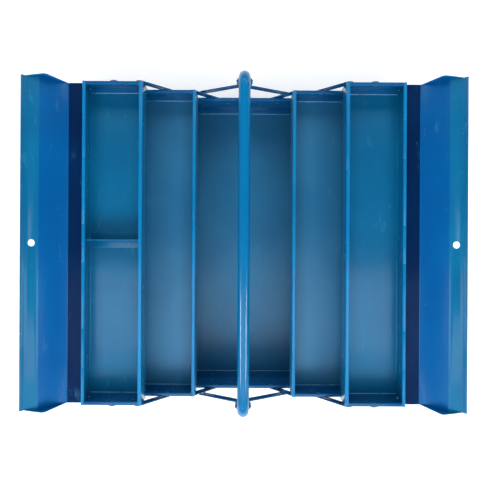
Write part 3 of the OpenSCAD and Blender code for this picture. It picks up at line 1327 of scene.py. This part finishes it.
    def open(self, lid: Piece) -> None:
        """Turns the closed lid open, on its side of the box, and moves it to its hinge.

        Args:
            lid: The closed lid, with the hinge's axis at the origin.
        """
        low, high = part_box(f"{self.side.word}_hinge_pin")
        axis = (low + high) / 2
        turn = math.radians(self.opened)
        for vertex in lid.thing.data.vertices:
            x, z = -vertex.co.x, vertex.co.z
            across = x * math.cos(turn) + z * math.sin(turn)
            up = -x * math.sin(turn) + z * math.cos(turn)
            vertex.co = (self.side.value * across + axis.x, vertex.co.y, up + axis.z)
        lid.edit()
        bpy.ops.mesh.normals_make_consistent(inside=False)
        lid.rest()


# ---- Studio ----


@dataclass(frozen=True)
class Softbox:
    """A rectangular soft light beside the box, aimed down at it.

    Attributes:
        name: The light's name.
        bearing: The direction in which it stands, from +X, in degrees.
        away: Its distance from the middle.
        up: Its height.
        size: Its width and height.
        power: Its power in watts.
        mirrored: Whether glossy surfaces show it.
        aim: The point that it faces.
    """

    name: str
    bearing: float
    away: float
    up: float
    size: Pair
    power: float
    mirrored: bool = True
    aim: Point = (0.0, 0.0, 0.1)

    def hang(self) -> bpy.types.Object:
        """Makes the light.

        Returns:
            The light.
        """
        light = bpy.data.lights.new(self.name, "AREA")
        light.shape = "RECTANGLE"
        light.size, light.size_y = self.size
        light.energy = self.power
        holder = bpy.data.objects.new(self.name, light)
        turn = math.radians(self.bearing)
        holder.location = (self.away * math.cos(turn), self.away * math.sin(turn), self.up)
        gaze = Vector(self.aim) - holder.location
        holder.rotation_euler = gaze.to_track_quat("-Z", "Y").to_euler()
        holder.visible_glossy = self.mirrored
        bpy.context.scene.collection.objects.link(holder)
        return holder


SOFTBOXES = (
    Softbox("rear_softbox", 90, 1.65, 1.75, (2.2, 0.8), 20.0, mirrored=False),
    Softbox("front_softbox", 270, 1.65, 1.75, (2.2, 0.8), 42.0, mirrored=False),
    Softbox("right_fill", 0, 2.1, 1.15, (1.4, 0.6), 10.0, mirrored=False),
    Softbox("left_fill", 180, 2.1, 1.15, (1.4, 0.6), 10.0, mirrored=False),
    *(
        Softbox(f"strip_{turn}", turn, 2.0, 1.0, (1.0, 0.1), 3.2)
        for turn in (60, 90, 120, 200, 235, 270, 305, 340)
    ),
    Softbox("overhead_panel", 270, 0.85, 2.3, (2.6, 1.05), 17.0),
)
HANDLE_BOXES = tuple(
    Softbox(f"handle_box_{turn}", turn, 1.77, 1.45, (0.6, 0.26), 26.0) for turn in (-21, 201)
)


@dataclass
class Studio:
    """A plain pale floor, soft lights from above, and the camera straight over the box.

    Attributes:
        camera_height: The camera's height over the floor.
        camera_y: Its place along Y.
        lens: Its focal length, in millimetres.
        sensor: Its sensor's width, in millimetres.
        shift: Its shift, as a share of the picture.
        roll: Its turn about its line of sight.
        room_light: The strength of the room's light; the camera itself sees the room white.
        room_tint: The room's colour.
        floor_size: The floor's width.
        floor_drop: How far it lies below the box.
        floor_tones: Its darker and lighter tone.
        glow: The floor's own light near the box and far from it.
        glow_reach: The distances between which the one passes into the other.
    """

    camera_height: float = 0.966
    camera_y: float = 0.0125
    lens: float = 35.41
    sensor: float = 36.0
    shift: Pair = (0.0023, -0.0182)
    roll: float = math.radians(0.3)
    room_light: float = 0.12
    room_tint: Colour = (0.95, 0.98, 1.0)
    floor_size: float = 24.0
    floor_drop: float = 0.0002
    floor_tones: Pair = (0.93, 0.96)
    glow: Pair = (0.25, 0.85)
    glow_reach: Pair = (0.8, 3.2)

    def build(self) -> None:
        """Sets up the floor, the lights and the camera."""
        self.floor()
        self.world()
        for softbox in SOFTBOXES:
            softbox.hang()
        self.handle_lights()
        self.camera()

    def handle_lights(self) -> None:
        """Hangs two boxes that show as bright lines along the handle and light nothing else."""
        only = bpy.data.collections.new("handle_alone")
        only.objects.link(bpy.data.objects["handle_tube"])
        for softbox in HANDLE_BOXES:
            holder = softbox.hang()
            holder.visible_diffuse = False
            holder.light_linking.receiver_collection = only

    def floor(self) -> None:
        """Lays the floor, with a faint unevenness and a glow that grows away from the box."""
        floor = Piece.start(
            "floor",
            bpy.ops.mesh.primitive_plane_add,
            size=self.floor_size,
            location=(0.0, 0.0, -self.floor_drop),
        )
        graph = Graph("pale_floor")
        cloud = graph.noise(scale=1.2, detail=2.0)
        far = graph.away().stretch(*self.glow_reach)
        tone = graph.blend(cloud, *((grey,) * 3 for grey in self.floor_tones))
        glow = graph.blend(far, *((grey,) * 3 for grey in self.glow))
        matt = {"Roughness": 0.9, "Specular IOR Level": 0.1, "Emission Strength": 1.0}
        floor.paint(graph.finish({"Base Color": tone, "Emission Color": glow, **matt}))

    def world(self) -> None:
        """Fills the room with even light, and shows it white to the camera."""
        world = bpy.data.worlds.new("white_room")
        world.use_nodes = True
        tree = world.node_tree
        path = tree.nodes.new("ShaderNodeLightPath")
        level = tree.nodes.new("ShaderNodeMapRange")
        level.inputs["To Min"].default_value = self.room_light
        tree.links.new(path.outputs["Is Camera Ray"], level.inputs["Value"])
        background = tree.nodes["Background"]
        background.inputs["Color"].default_value = (*self.room_tint, 1.0)
        tree.links.new(level.outputs["Result"], background.inputs["Strength"])
        bpy.context.scene.world = world

    def camera(self) -> None:
        """Places the camera as in the picture."""
        camera = bpy.data.cameras.new("camera")
        camera.lens = self.lens
        camera.sensor_width = self.sensor
        camera.shift_x, camera.shift_y = self.shift
        holder = bpy.data.objects.new("camera", camera)
        holder.location = (0.0, self.camera_y, self.camera_height)
        holder.rotation_euler = (0.0, 0.0, self.roll)
        bpy.context.scene.collection.objects.link(holder)
        bpy.context.scene.camera = holder


def main() -> None:
    """Builds the tool box around the frame."""
    logging.basicConfig(level=logging.INFO, format="%(name)s: %(message)s")
    finishes = Finishes()
    SheetWork(finishes).build()
    Fasteners(finishes).build()
    for side in Side:
        Lid(finishes, side).build()
    Handle(finishes).build()
    WeldMarks(finishes).build()
    Studio().build()
    bpy.context.scene.view_settings.view_transform = "Standard"


if __name__ == "__main__":
    main()
